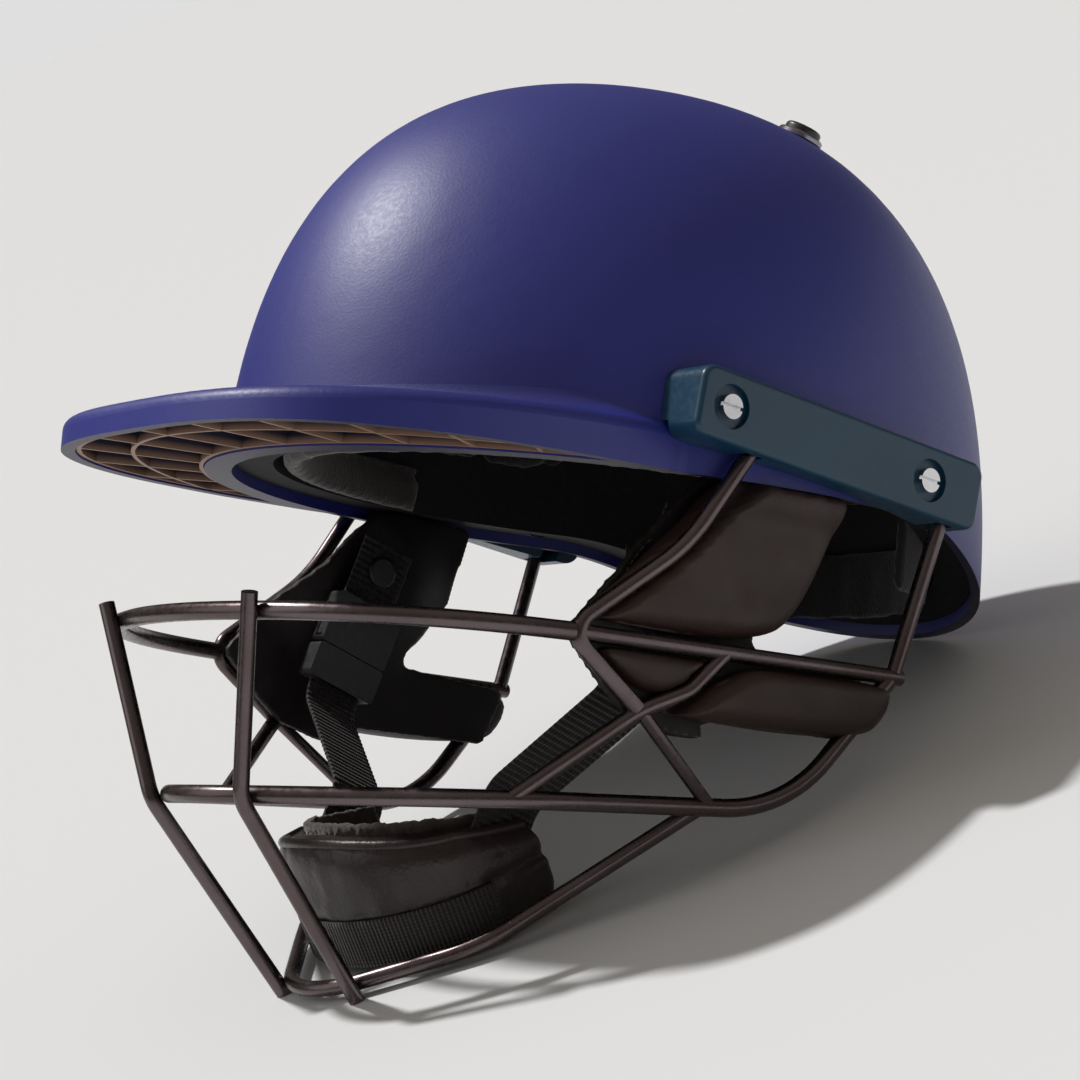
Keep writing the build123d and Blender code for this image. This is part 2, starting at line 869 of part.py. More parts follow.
# Chin strap
strap_drop = Vector(0, strap_pivot_y - strap_axis_y, strap_pivot_z - strap_axis_z)
strap_length = strap_drop.length
strap_down = strap_drop.normalized()
strap_across = Vector(0, -strap_down.Z, strap_down.Y)
strap_plane = Plane(
    origin=(0, strap_axis_y, strap_axis_z), x_dir=(1, 0, 0), z_dir=tuple(strap_across)
)
strap_end = strap_width / 2
strap_places = (
    (strap_side, -strap_end),
    (strap_side, strap_run),
    (strap_tongue, strap_cross),
    (strap_tongue, strap_length + strap_end),
)


def hinge_bore(axis_y, axis_z, diameter):
    """A bore along X, on both sides of the helmet."""
    with BuildPart() as bore:
        with BuildSketch(Plane.YZ):
            with Locations((axis_y, axis_z)):
                Circle(diameter / 2)
        extrude(amount=2 * shell_half_width, both=True)
    return bore.part


with BuildPart() as strap_left:
    with BuildSketch(strap_plane):
        with BuildLine():
            FilletPolyline(*strap_places, radius=strap_bend)
        trace(line_width=strap_thickness)
    extrude(amount=strap_end, both=True)
    end_edges = edges().filter_by(Axis.X)
    fillet(end_edges, strap_end * strap_round_share)
    add(hinge_bore(strap_axis_y, strap_axis_z, stud_hole), mode=Mode.SUBTRACT)
    add(hinge_bore(strap_pivot_y, strap_pivot_z, rivet_hole), mode=Mode.SUBTRACT)
strap_left.part.label = "strap_left"
strap_right_whole = mirror(strap_left.part, about=Plane.YZ)

with BuildPart() as strap_right_upper:
    add(strap_right_whole)
    with BuildSketch(strap_plane):
        with Locations((-strap_side, buckle_top + web_lap + strap_length)):
            Rectangle(2 * strap_side, 2 * strap_length)
    extrude(amount=strap_width, both=True, mode=Mode.SUBTRACT)
strap_right_upper.part.label = "strap_right_upper"

with BuildPart() as strap_right_lower:
    add(strap_right_whole)
    with BuildSketch(strap_plane):
        with Locations((-strap_side, buckle_end - web_lap - strap_length)):
            Rectangle(2 * strap_side, 2 * strap_length)
    extrude(amount=strap_width, both=True, mode=Mode.SUBTRACT)
strap_right_lower.part.label = "strap_right_lower"

with BuildPart() as strap_stud_left:
    stud_plane = Plane.YZ.offset(strap_side - strap_thickness / 2 - stud_gap)
    with BuildSketch(stud_plane):
        with Locations((strap_axis_y, strap_axis_z)):
            Circle(stud_head / 2)
    extrude(amount=-stud_head_height)
    fillet(faces().sort_by(Axis.X)[0].edges(), stud_head_height / 2)
    with BuildSketch(stud_plane):
        with Locations((strap_axis_y, strap_axis_z)):
            Circle(stud_diameter / 2)
    extrude(amount=lining_face + lining_thickness - stud_plane.origin.X)
    with BuildSketch(Plane.YZ.offset(lining_face)):
        with Locations((strap_axis_y, strap_axis_z)):
            Circle(stud_flange / 2)
    extrude(amount=strap_side + strap_thickness / 2 + stud_gap - lining_face)
strap_stud_left.part.label = "strap_stud_left"

# Side-release buckle on the wearer's right
buckle_plane = Plane(
    origin=(-strap_side, strap_axis_y, strap_axis_z),
    x_dir=tuple(strap_across),
    z_dir=(-1, 0, 0),
)
cavity_width = buckle_width - 2 * buckle_wall
cavity_thickness = buckle_thickness - 2 * buckle_wall
socket_length = buckle_split - buckle_top
plug_top = buckle_split + buckle_gap
prong_out = cavity_width / 2 - buckle_gap
prong_low = plug_top + prong_root
window_middle = buckle_split - window_height / 2 - buckle_wall
web_room = (strap_width + 2 * buckle_gap, strap_thickness + buckle_gap)


def web_slot(middle):
    """The slot for the webbing's end, as a tool solid."""
    with BuildPart() as slot:
        with BuildSketch(buckle_plane):
            with Locations((0, middle)):
                Rectangle(web_room[0], web_lap)
        extrude(amount=web_room[1] / 2, both=True)
    return slot.part


with BuildPart() as buckle_socket:
    with BuildSketch(buckle_plane):
        with Locations((0, buckle_top + socket_length / 2)):
            RectangleRounded(buckle_width, socket_length, buckle_wall)
    extrude(amount=buckle_thickness / 2, both=True)
    with BuildSketch(buckle_plane):
        with Locations((0, buckle_split)):
            Rectangle(cavity_width, 2 * (socket_length - web_lap - buckle_wall))
        with Locations((0, window_middle)):
            Rectangle(2 * buckle_width, window_height)
    extrude(amount=cavity_thickness / 2, both=True, mode=Mode.SUBTRACT)
    add(web_slot(buckle_top + web_lap / 2), mode=Mode.SUBTRACT)
buckle_socket.part.label = "buckle_socket"

with BuildPart() as buckle_plug:
    plug_length = buckle_end - plug_top
    with BuildSketch(buckle_plane):
        with Locations((0, plug_top + plug_length / 2)):
            RectangleRounded(buckle_width, plug_length, buckle_wall)
    extrude(amount=buckle_thickness / 2, both=True)
    with BuildSketch(buckle_plane):
        with Locations((0, plug_top - guide_length / 2)):
            Rectangle(guide_width, guide_length)
    extrude(amount=cavity_thickness / 2 - buckle_gap, both=True)
    with BuildSketch(buckle_plane):
        with Locations((0, plug_top)):
            Rectangle(cavity_width, 2 * (prong_root + buckle_gap))
            Rectangle(guide_width, 2 * (prong_root + buckle_gap), mode=Mode.SUBTRACT)
    extrude(amount=cavity_thickness / 2, both=True, mode=Mode.SUBTRACT)
    add(web_slot(buckle_end - web_lap / 2), mode=Mode.SUBTRACT)
buckle_plug.part.label = "buckle_plug"

with BuildPart() as prong_rear:
    with BuildSketch(buckle_plane):
        with Locations((prong_out - prong_width / 2, prong_low - prong_length / 2)):
            RectangleRounded(prong_width, prong_length, prong_corner)
        with Locations((prong_out, window_middle)):
            RectangleRounded(2 * prong_travel, window_height - 2 * buckle_gap, prong_corner)
    extrude(amount=prong_thickness / 2, both=True)
prong_rear.part.label = "prong_rear"

with BuildPart() as prong_front:
    mirror(prong_rear.part, about=Plane(origin=buckle_plane.origin, z_dir=buckle_plane.x_dir))
prong_front.part.label = "prong_front"

# Chin cup
cup_plane = Plane(
    origin=(0, strap_pivot_y, strap_pivot_z), x_dir=(1, 0, 0), z_dir=floor_plane.z_dir
)
tongue_plane = Plane(
    origin=(strap_tongue, strap_pivot_y, strap_pivot_z),
    x_dir=tuple(cup_plane.y_dir),
    z_dir=(1, 0, 0),
)
strap_up = tongue_plane.to_local_coords(Vector(strap_tongue, strap_axis_y, strap_axis_z))
strap_angle = degrees(atan2(strap_up.Y, strap_up.X))


def cup_form(inset, low, high, arm):
    """A solid of the cup's plan, drawn in by an inset, between two heights."""
    with BuildPart() as form:
        with BuildSketch(cup_plane.offset(low)):
            with BuildLine():
                half_width = cup_half_width - inset
                front = EllipticalCenterArc(
                    (0, 0), half_width, cup_depth - inset, start_angle=180, arc_size=180
                )
                Polyline(front @ 1, (half_width, arm), (-half_width, arm), front @ 0)
            make_face()
        extrude(amount=high - low)
    return form.part



with BuildPart() as tongue_room:
    with BuildSketch(tongue_plane.offset(-pocket_width / 2)):
        Circle(pocket_radius)
        for lean in (-cup_tilt, 0, cup_tilt):
            turn = radians(strap_angle + lean)
            middle = (cup_half_width * cos(turn) / 2, cup_half_width * sin(turn) / 2)
            with Locations(Location(middle, degrees(turn))):
                Rectangle(cup_half_width, 2 * pocket_radius)
    extrude(amount=pocket_width)
    with BuildSketch(tongue_plane.offset(-rivet_inset)):
        Circle(rivet_diameter / 2)
    extrude(amount=cup_half_width)
    mirror(about=Plane.YZ)

cup_up = Axis((0, 0, 0), tuple(cup_plane.z_dir))
cup_back = Axis((0, 0, 0), tuple(cup_plane.y_dir))
with BuildPart() as chin_cup:
    add(cup_form(0, cup_base, cup_top, cup_arm))
    low_edges = chin_cup.faces().sort_by(cup_up)[0].edges()
    fillet(low_edges.sort_by(cup_back)[:-1], cup_rounding)
    add(cup_form(cup_wall, cup_base + cup_floor, 2 * cup_top, 2 * cup_arm), mode=Mode.SUBTRACT)
    add(tongue_room.part, mode=Mode.SUBTRACT)
chin_cup.part.label = "chin_cup"

with BuildPart() as cup_lining:
    fleece_outside = cup_wall + lining_gap
    fleece_inside = fleece_outside + fleece_thickness
    fleece_low = cup_base + cup_floor + lining_gap
    add(cup_form(fleece_outside, fleece_low, cup_top + fleece_rise, cup_arm - lining_gap))
    add(
        cup_form(fleece_inside, fleece_low + fleece_thickness, 2 * cup_top, 2 * cup_arm),
        mode=Mode.SUBTRACT,
    )
cup_lining.part.label = "cup_lining"

with BuildPart() as cup_sleeve:
    sleeve_low = cup_base + sleeve_lift
    add(cup_form(-lining_gap - sleeve_thickness, sleeve_low, sleeve_low + sleeve_height, cup_arm))
    add(cup_form(-lining_gap, cup_base, cup_top, 2 * cup_arm), mode=Mode.SUBTRACT)
    with BuildSketch(cup_plane.offset(cup_base)):
        with Locations((0, cup_half_width - sleeve_end)):
            Rectangle(4 * cup_half_width, 2 * cup_half_width)
    extrude(amount=cup_top - cup_base, mode=Mode.SUBTRACT)
cup_sleeve.part.label = "cup_sleeve"

with BuildPart() as cup_rivets:
    with BuildSketch(tongue_plane.offset(-rivet_inset)):
        Circle(rivet_diameter / 2)
    extrude(amount=cup_half_width - strap_tongue + rivet_inset)
    with BuildSketch(tongue_plane.offset(cup_half_width - strap_tongue)):
        Circle(rivet_head / 2)
    extrude(amount=rivet_head_height)
    fillet(cup_rivets.faces().sort_by(Axis.X)[-1].edges(), rivet_head_height / 2)
    mirror(about=Plane.YZ)
cup_rivets.part.label = "cup_rivets"

# The helmet set down on its rest
single_pieces = (
    outer_shell,
    peak_stiffener,
    impact_liner,
    crown_pad,
    rear_pad,
    front_sweatband,
    nape_band,
    top_bar,
    mid_bar,
    low_bar,
    screws,
    nuts,
    strap_left,
    strap_right_upper,
    strap_right_lower,
    buckle_socket,
    buckle_plug,
    prong_rear,
    prong_front,
    chin_cup,
    cup_lining,
    cup_sleeve,
    cup_rivets,
)
paired_pieces = (
    side_pad_left,
    vent_base_left,
    vent_cap_left,
    guard_plate_left,
    side_rail_left,
    diagonal_rod_left,
    front_rod_left,
    rear_rod_left,
    strut_left,
    upright_left,
    mount_block_left,
    block_packer_left,
    ear_lining_left,
    ear_pad_upper_left,
    ear_pad_front_left,
    ear_pad_rear_left,
    strap_stud_left,
)
drawn_pieces = {piece.part.label: piece.part for piece in single_pieces + paired_pieces}
for piece in paired_pieces:
    twin_label = piece.part.label.replace("left", "right")
    drawn_pieces[twin_label] = mirror(piece.part, about=Plane.YZ)

tipped = Location((0, 0, 0), (-rest_tilt, 0, 0))
shell_box = outer_shell.part.moved(tipped).bounding_box()
guard_box = mid_bar.part.moved(tipped).bounding_box()
middle_y = (shell_box.max.Y + guard_box.min.Y) / 2
floor_z = (tipped * Location((0, *foot_place))).position.Z
rest = Location((0, -middle_y, -floor_z)) * tipped

for label, solid in drawn_pieces.items():
    placed = solid.moved(rest)
    placed.label = label
    export_step(placed, f"parts/{label}.step")
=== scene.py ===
"""The looks of the cricket helmet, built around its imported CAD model."""

import json
from math import cos, pi, radians, sin, sqrt

import bmesh
import bpy
from mathutils import Matrix, Vector, noise


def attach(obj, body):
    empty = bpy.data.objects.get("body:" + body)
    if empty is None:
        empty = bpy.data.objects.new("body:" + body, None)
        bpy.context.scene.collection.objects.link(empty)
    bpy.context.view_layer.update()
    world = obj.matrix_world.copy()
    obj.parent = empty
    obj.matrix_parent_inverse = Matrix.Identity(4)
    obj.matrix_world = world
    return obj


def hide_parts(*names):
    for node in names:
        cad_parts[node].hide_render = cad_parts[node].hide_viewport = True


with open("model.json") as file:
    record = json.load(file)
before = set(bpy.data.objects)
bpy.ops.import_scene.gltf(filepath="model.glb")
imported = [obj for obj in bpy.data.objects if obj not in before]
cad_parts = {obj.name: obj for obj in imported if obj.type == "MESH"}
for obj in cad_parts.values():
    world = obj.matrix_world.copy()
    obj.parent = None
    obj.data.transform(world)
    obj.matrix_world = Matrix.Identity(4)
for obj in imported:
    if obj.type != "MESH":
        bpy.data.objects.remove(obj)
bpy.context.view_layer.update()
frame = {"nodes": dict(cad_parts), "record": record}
nodes = frame["nodes"]
scene = bpy.context.scene

# The helmet is modelled as worn, in millimetres, and tipped back onto its rest
rest_tilt = radians(30.7044)
middle_y = 1.545
floor_z = -43.505


def turned(direction):
    """A direction of the worn helmet, in the row frame."""
    x, y, z = direction
    return Vector(
        (x, y * cos(rest_tilt) + z * sin(rest_tilt), z * cos(rest_tilt) - y * sin(rest_tilt))
    )


def worn(x, y, z):
    """A place on the worn helmet, in the row frame and in metres."""
    return (turned((x, y, z)) - Vector((0, middle_y, floor_z))) / 1000


def worn_place(place):
    """The worn helmet's x, y and z of a place in the row frame, in millimetres."""
    x, y, z = place * 1000 + Vector((0, middle_y, floor_z))
    return (
        x,
        y * cos(rest_tilt) - z * sin(rest_tilt),
        y * sin(rest_tilt) + z * cos(rest_tilt),
    )


worn_up = turned((0, 0, 1))


# Materials. Heights of the worn helmet where the painted shade beneath the peak and on the ribs
# begins and ends, and rib pitches, in metres
peak_top, peak_shade = 0.0559, 0.0556
rib_full_painted_shade, rib_no_painted_shade = 0.0520, 0.0500
strap_pitch, sleeve_pitch, thread_pitch = 0.0022, 0.0014, 0.0011


class Surface:
    """A procedural material, drawn in the row frame."""

    def __init__(self, name, color, roughness, **settings):
        self.material = bpy.data.materials.new(name)
        self.material.use_nodes = True
        self.tree = self.material.node_tree
        self.shader = self.tree.nodes["Principled BSDF"]
        self.place = self.node("TexCoord").outputs["Object"]
        self.shader.inputs["Roughness"].default_value = roughness
        if not hasattr(color, "links"):
            color = (*color, 1)
        self.put("Base Color", color)
        for key, value in settings.items():
            self.put(key.replace("_", " ").title().replace("Ior", "IOR"), value)
        self.height = None

    def node(self, kind, **settings):
        made = self.tree.nodes.new("ShaderNode" + kind)
        for key, value in settings.items():
            setattr(made, key, value)
        return made

    def put(self, name, value):
        self.feed(self.shader.inputs[name], value)

    def feed(self, socket, value):
        if hasattr(value, "links"):
            self.tree.links.new(value, socket)
        else:
            socket.default_value = value

    def noise(self, scale, detail=3.0, stretch=None):
        made = self.node("TexNoise")
        made.inputs["Scale"].default_value = scale
        made.inputs["Detail"].default_value = detail
        self.tree.links.new(self.stretched(stretch), made.inputs["Vector"])
        return made.outputs["Fac"]

    def cells(self, scale):
        made = self.node("TexVoronoi")
        made.inputs["Scale"].default_value = scale
        self.tree.links.new(self.place, made.inputs["Vector"])
        return made.outputs["Distance"]

    def stretched(self, stretch):
        if stretch is None:
            return self.place
        made = self.node("Mapping")
        made.inputs["Scale"].default_value = stretch
        self.tree.links.new(self.place, made.inputs["Vector"])
        return made.outputs["Vector"]

    def range(self, value, low, high, start=0.0, end=1.0):
        made = self.node("MapRange")
        self.feed(made.inputs["Value"], value)
        made.inputs["From Min"].default_value = low
        made.inputs["From Max"].default_value = high
        made.inputs["To Min"].default_value = start
        made.inputs["To Max"].default_value = end
        return made.outputs["Result"]

    def math(self, operation, first, second=0.0):
        made = self.node("Math", operation=operation)
        self.feed(made.inputs[0], first)
        self.feed(made.inputs[1], second)
        return made.outputs["Value"]

    def along(self, vector, direction):
        made = self.node("VectorMath", operation="DOT_PRODUCT")
        self.tree.links.new(vector, made.inputs[0])
        made.inputs[1].default_value = tuple(direction)
        return made.outputs["Value"]

    def mix(self, factor, first, second):
        made = self.node("Mix", data_type="RGBA")
        self.feed(made.inputs["Factor"], factor)
        for socket, color in ((made.inputs[6], first), (made.inputs[7], second)):
            self.feed(socket, color if hasattr(color, "links") else (*color, 1))
        return made.outputs[2]

    def bump(self, height, distance, strength=1.0):
        made = self.node("Bump")
        made.inputs["Distance"].default_value = distance
        made.inputs["Strength"].default_value = strength
        self.tree.links.new(height, made.inputs["Height"])
        if self.height:
            self.tree.links.new(self.height, made.inputs["Normal"])
        self.height = made.outputs["Normal"]
        self.put("Normal", self.height)

    def worn_height(self):
        """The height above the worn helmet's level, in metres."""
        offset = Vector((0, middle_y, floor_z)).dot(worn_up) / 1000
        return self.math("ADD", self.along(self.place, worn_up), offset)


def leather(name, color, dark, roughness=0.5, crease=0.35):
    surface = Surface(name, color, roughness, specular_ior_level=0.45)
    patches = surface.range(surface.noise(28, 4), 0.35, 0.7)
    surface.put("Base Color", surface.mix(patches, color, dark))
    shine = surface.range(surface.noise(60), 0.3, 0.7, roughness - 0.08, roughness + 0.1)
    surface.put("Roughness", shine)
    surface.bump(surface.cells(900), 0.00012, 0.55)
    surface.bump(surface.noise(2600, 2), 0.00005, 0.5)
    surface.bump(surface.noise(75, 5, (1, 1.6, 0.8)), 0.0009, crease)
    return surface.material


def webbing(name, color, pitch):
    """Ribbed webbing. Its UV runs across and along the strap, in metres."""
    surface = Surface(name, color, 0.72, sheen_weight=0.15)
    uv = surface.node("TexCoord").outputs["UV"]
    across = surface.along(uv, (1, 0, 0))
    along = surface.along(uv, (0, 1, 0))
    ribs = surface.math("SINE", surface.math("MULTIPLY", along, 2 * pi / pitch))
    threads = surface.math("SINE", surface.math("MULTIPLY", across, 2 * pi / thread_pitch))
    # Painted light: the rib crests are painted lighter than the grooves, in step with the rib bump.
    light = tuple(1.7 * c for c in color)
    surface.put("Base Color", surface.mix(surface.range(ribs, -1, 1), color, light))
    surface.bump(ribs, 0.00035, 0.8)
    surface.bump(threads, 0.00012, 0.7)
    surface.bump(surface.noise(3500, 2), 0.0001, 0.5)
    return surface.material


def cloth_fabric(name, color, light, scale=1400.0):
    surface = Surface(name, color, 0.88, sheen_weight=0.4)
    patches = surface.range(surface.noise(40, 4), 0.35, 0.65)
    surface.put("Base Color", surface.mix(patches, color, light))
    surface.bump(surface.cells(scale), 0.00025, 0.8)
    surface.bump(surface.noise(300, 4), 0.0003, 0.4)
    return surface.material


def metal(name, color, second, roughness):
    surface = Surface(name, color, roughness, metallic=1.0)
    patches = surface.range(surface.noise(22, 3), 0.38, 0.66)
    surface.put("Base Color", surface.mix(patches, color, second))
    shine = surface.range(surface.noise(420, 4), 0.35, 0.75, roughness - 0.06, roughness + 0.09)
    surface.put("Roughness", shine)
    return surface.material


def shell_material():
    """Satin blue, with painted shade making it nearly black beneath the peak."""
    surface = Surface("shell_blue", (0.02, 0.024, 0.19), 0.49, specular_ior_level=0.75)
    lit = surface.mix(
        surface.range(surface.noise(9, 3), 0.3, 0.7), (0.010, 0.016, 0.205), (0.013, 0.020, 0.24)
    )
    # Painted shade: faces that look down, beneath the peak, are painted nearly black.
    facing = surface.along(surface.node("NewGeometry").outputs["Normal"], worn_up)
    low = surface.range(surface.worn_height(), peak_top, peak_shade)
    peak_painted_shade = surface.math("MULTIPLY", surface.range(facing, -0.5, -0.9), low)
    surface.put("Base Color", surface.mix(peak_painted_shade, lit, (0.012, 0.008, 0.04)))
    surface.put("Roughness", surface.range(surface.noise(700, 3), 0.3, 0.7, 0.46, 0.52))
    surface.bump(surface.cells(1100), 0.00006, 0.35)
    surface.bump(surface.noise(2200, 2), 0.00004, 0.3)
    surface.bump(surface.noise(60, 2), 0.0003, 0.12)
    return surface.material


def rib_material():
    """Ribs with painted shade, nearly black higher up beneath the peak, and copper-brown at their
    lower edges.
    """
    surface = Surface("rib_copper", (0.2, 0.1, 0.06), 0.5)
    # Painted shade: the ribs turn nearly black above this height, in the pocket beneath the peak.
    edge = surface.range(surface.worn_height(), rib_full_painted_shade, rib_no_painted_shade)
    surface.put("Base Color", surface.mix(edge, (0.015, 0.014, 0.035), (0.30, 0.175, 0.115)))
    surface.bump(surface.noise(1500, 3), 0.00005, 0.5)
    return surface.material


def plastic(name, color, second, roughness, grain=0.00005):
    surface = Surface(name, color, roughness, coat_weight=0.15, coat_roughness=0.2)
    patches = surface.range(surface.noise(35, 3), 0.35, 0.7)
    surface.put("Base Color", surface.mix(patches, color, second))
    shine = surface.range(surface.noise(500, 3), 0.3, 0.7, roughness - 0.05, roughness + 0.07)
    surface.put("Roughness", shine)
    surface.bump(surface.noise(1300, 3), grain, 0.5)
    return surface.material


def foam_material():
    surface = Surface("liner_foam", (0.012, 0.011, 0.013), 0.8)
    surface.bump(surface.cells(330), 0.0004, 0.5)
    surface.bump(surface.noise(1800, 2), 0.0001, 0.5)
    return surface.material


shell_blue = shell_material()
rib_copper = rib_material()
liner_foam = foam_material()
titanium = metal("titanium", (0.155, 0.125, 0.132), (0.115, 0.088, 0.09), 0.30)
vent_metal = metal("vent_metal", (0.30, 0.29, 0.33), (0.2, 0.19, 0.23), 0.3)
steel = metal("bright_steel", (0.72, 0.72, 0.74), (0.6, 0.6, 0.63), 0.22)
block_blue = plastic("block_blue", (0.003, 0.040, 0.082), (0.005, 0.052, 0.10), 0.36)
black_plastic = plastic("black_plastic", (0.012, 0.011, 0.013), (0.02, 0.018, 0.02), 0.4)
pad_leather = leather("pad_leather", (0.034, 0.016, 0.012), (0.020, 0.0105, 0.0085), 0.5, 0.25)
lining_leather = leather("lining_leather", (0.012, 0.007, 0.0075), (0.008, 0.005, 0.0055), 0.6, 0.2)
cup_leather = leather("cup_leather", (0.030, 0.018, 0.017), (0.018, 0.011, 0.011), 0.34, 0.9)
panel_cloth = cloth_fabric("panel_cloth", (0.007, 0.006, 0.007), (0.012, 0.010, 0.010))
band_cloth = cloth_fabric("band_cloth", (0.022, 0.017, 0.015), (0.034, 0.027, 0.024), 1000)
fleece_cloth = cloth_fabric("fleece_cloth", (0.03, 0.022, 0.019), (0.055, 0.042, 0.036), 700)
strap_web = webbing("strap_web", (0.008, 0.0055, 0.0055), strap_pitch)
sleeve_web = webbing("sleeve_web", (0.010, 0.007, 0.0065), sleeve_pitch)
thread = cloth_fabric("thread", (0.02, 0.015, 0.014), (0.032, 0.025, 0.022), 2500)

for names, material in (
    (["outer_shell"], shell_blue),
    (["peak_stiffener"], rib_copper),
    (["impact_liner"], liner_foam),
    (["screws", "nuts"], steel),
    (["vent_base_left", "vent_base_right"], vent_metal),
    (["cup_rivets"], cup_leather),
    (["mount_block_left", "mount_block_right"], block_blue),
    (
        [
            "vent_cap_left",
            "vent_cap_right",
            "block_packer_left",
            "block_packer_right",
            "strap_stud_left",
            "strap_stud_right",
            "buckle_socket",
            "buckle_plug",
            "prong_rear",
            "prong_front",
        ],
        black_plastic,
    ),
    (
        [part["node"] for part in frame["record"]["subparts"] if part["material_slot"] == "guard"],
        titanium,
    ),
):
    for name in names:
        node = nodes[name]
        if not node.material_slots:
            node.data.materials.append(material)
        for slot in node.material_slots:
            slot.material = material


# Mesh helpers
def linked(name, mesh, material):
    piece = bpy.data.objects.new(name, mesh)
    scene.collection.objects.link(piece)
    mesh.materials.clear()
    mesh.materials.append(material)
    mesh.polygons.foreach_set("use_smooth", [True] * len(mesh.polygons))
    return piece


def copied(name, node, material):
    """A mesh copy of a CAD node, in the row frame."""
    source = nodes[node]
    mesh = source.data.copy()
    mesh.transform(source.matrix_world)
    return linked(name, mesh, material)


def baked(piece):
    """Applies the piece's modifiers."""
    bpy.context.view_layer.update()
    graph = bpy.context.evaluated_depsgraph_get()
    mesh = bpy.data.meshes.new_from_object(piece.evaluated_get(graph))
    material = piece.data.materials[0]
    piece.modifiers.clear()
    piece.data = mesh
    mesh.materials.clear()
    mesh.materials.append(material)
    mesh.polygons.foreach_set("use_smooth", [True] * len(mesh.polygons))


def remeshed(piece, voxel, smooth):
    change = piece.modifiers.new("remesh", "REMESH")
    change.mode = "VOXEL"
    change.voxel_size = voxel
    change.use_smooth_shade = True
    baked(piece)
    change = piece.modifiers.new("smooth", "SMOOTH")
    change.iterations = smooth
    change.factor = 0.5
    baked(piece)


def moved(piece, shift):
    """Moves each vertex by shift(place, normal)."""
    mesh = piece.data
    places = [(v.co.copy(), v.normal.copy()) for v in mesh.vertices]
    for vertex, (place, normal) in zip(mesh.vertices, places):
        vertex.co = place + shift(place, normal)
    mesh.update()


cloth_steps = 15


def inflated(piece, cap):
    """Fills the piece by a short cloth simulation, each point moving no further than cap."""
    start = [v.co.copy() for v in piece.data.vertices]
    cloth = piece.modifiers.new("cloth", "CLOTH")
    cloth.settings.quality = 4
    cloth.settings.mass = 0.3
    cloth.settings.tension_stiffness = 12
    cloth.settings.compression_stiffness = 12
    cloth.settings.bending_stiffness = 1.2
    cloth.settings.use_pressure = True
    cloth.settings.uniform_pressure_force = 4.0
    cloth.settings.effector_weights.gravity = 0
    for step in range(1, cloth_steps):
        scene.frame_set(step)
    baked(piece)
    scene.frame_set(1)
    for vertex, place in zip(piece.data.vertices, start):
        shift = vertex.co - place
        if shift.length > cap:
            vertex.co = place + shift * (cap / shift.length)
    piece.data.update()


def padded_copy(name, node, material, voxel=0.003, shrink=0.0009, cap=0.0016, smooth=3):
    """A swollen pad in the space of a CAD solid."""
    piece = copied(name, node, material)
    remeshed(piece, voxel, smooth)
    moved(piece, lambda place, normal: -shrink * normal)
    inflated(piece, cap)
    change = piece.modifiers.new("finer", "SUBSURF")
    change.levels = 1
    change.render_levels = 1
    baked(piece)
    return piece


def grooved(piece, distance, depth, width):
    """Sinks a sewn channel where distance(place), in metres, is small."""

    def shift(place, normal):
        gap = abs(distance(place)) / width
        return normal * (-depth * (1 - gap * gap) ** 2 if gap < 1 else 0)

    moved(piece, shift)


def rounded_corners(points, closed, passes=3):
    """Cuts the corners of a polyline again and again."""
    points = [Vector(p) for p in points]
    for _ in range(passes):
        pairs = list(zip(points, points[1:] + points[:1]))
        if not closed:
            pairs = pairs[:-1]
        cut = []
        for start, end in pairs:
            cut += [start.lerp(end, 0.25), start.lerp(end, 0.75)]
        points = cut if closed else [points[0]] + cut + [points[-1]]
    return points


def spaced(points, pitch, closed=False):
    """Points along a polyline at an even pitch."""
    points = list(points) + ([points[0]] if closed else [])
    lengths = [0.0]
    for start, end in zip(points, points[1:]):
        lengths.append(lengths[-1] + (end - start).length)
    count = max(2, round(lengths[-1] / pitch))
    out, place = [], 0
    for step in range(count + (0 if closed else 1)):
        goal = lengths[-1] * step / count
        while place < len(lengths) - 2 and lengths[place + 1] < goal:
            place += 1
        span = lengths[place + 1] - lengths[place] or 1.0
        out.append(points[place].lerp(points[place + 1], (goal - lengths[place]) / span))
    return out


def tube(name, points, radius, material, sides):
    """A round cord through points. None runs along skew."""
    skew = Vector((0.123, 0.456, 0.881))
    mesh = bpy.data.meshes.new(name)
    bm = bmesh.new()
    rings = []
    for step, point in enumerate(points):
        before, after = points[max(0, step - 1)], points[min(len(points) - 1, step + 1)]
        run = (after - before).normalized()
        side = run.cross(skew).normalized()
        up = side.cross(run)
        turns = [2 * pi * k / sides for k in range(sides)]
        rings.append([bm.verts.new(point + radius * (side * cos(t) + up * sin(t))) for t in turns])
    for low, high in zip(rings, rings[1:]):
        for k in range(sides):
            bm.faces.new((low[k], low[k - 1], high[k - 1], high[k]))
    bm.faces.new(rings[0])
    bm.faces.new(reversed(rings[-1]))
    bmesh.ops.recalc_face_normals(bm, faces=bm.faces)
    bm.to_mesh(mesh)
    bm.free()
    return linked(name, mesh, material)


stitch_length, stitch_gap, stitch_radius = 0.0026, 0.0011, 0.00028


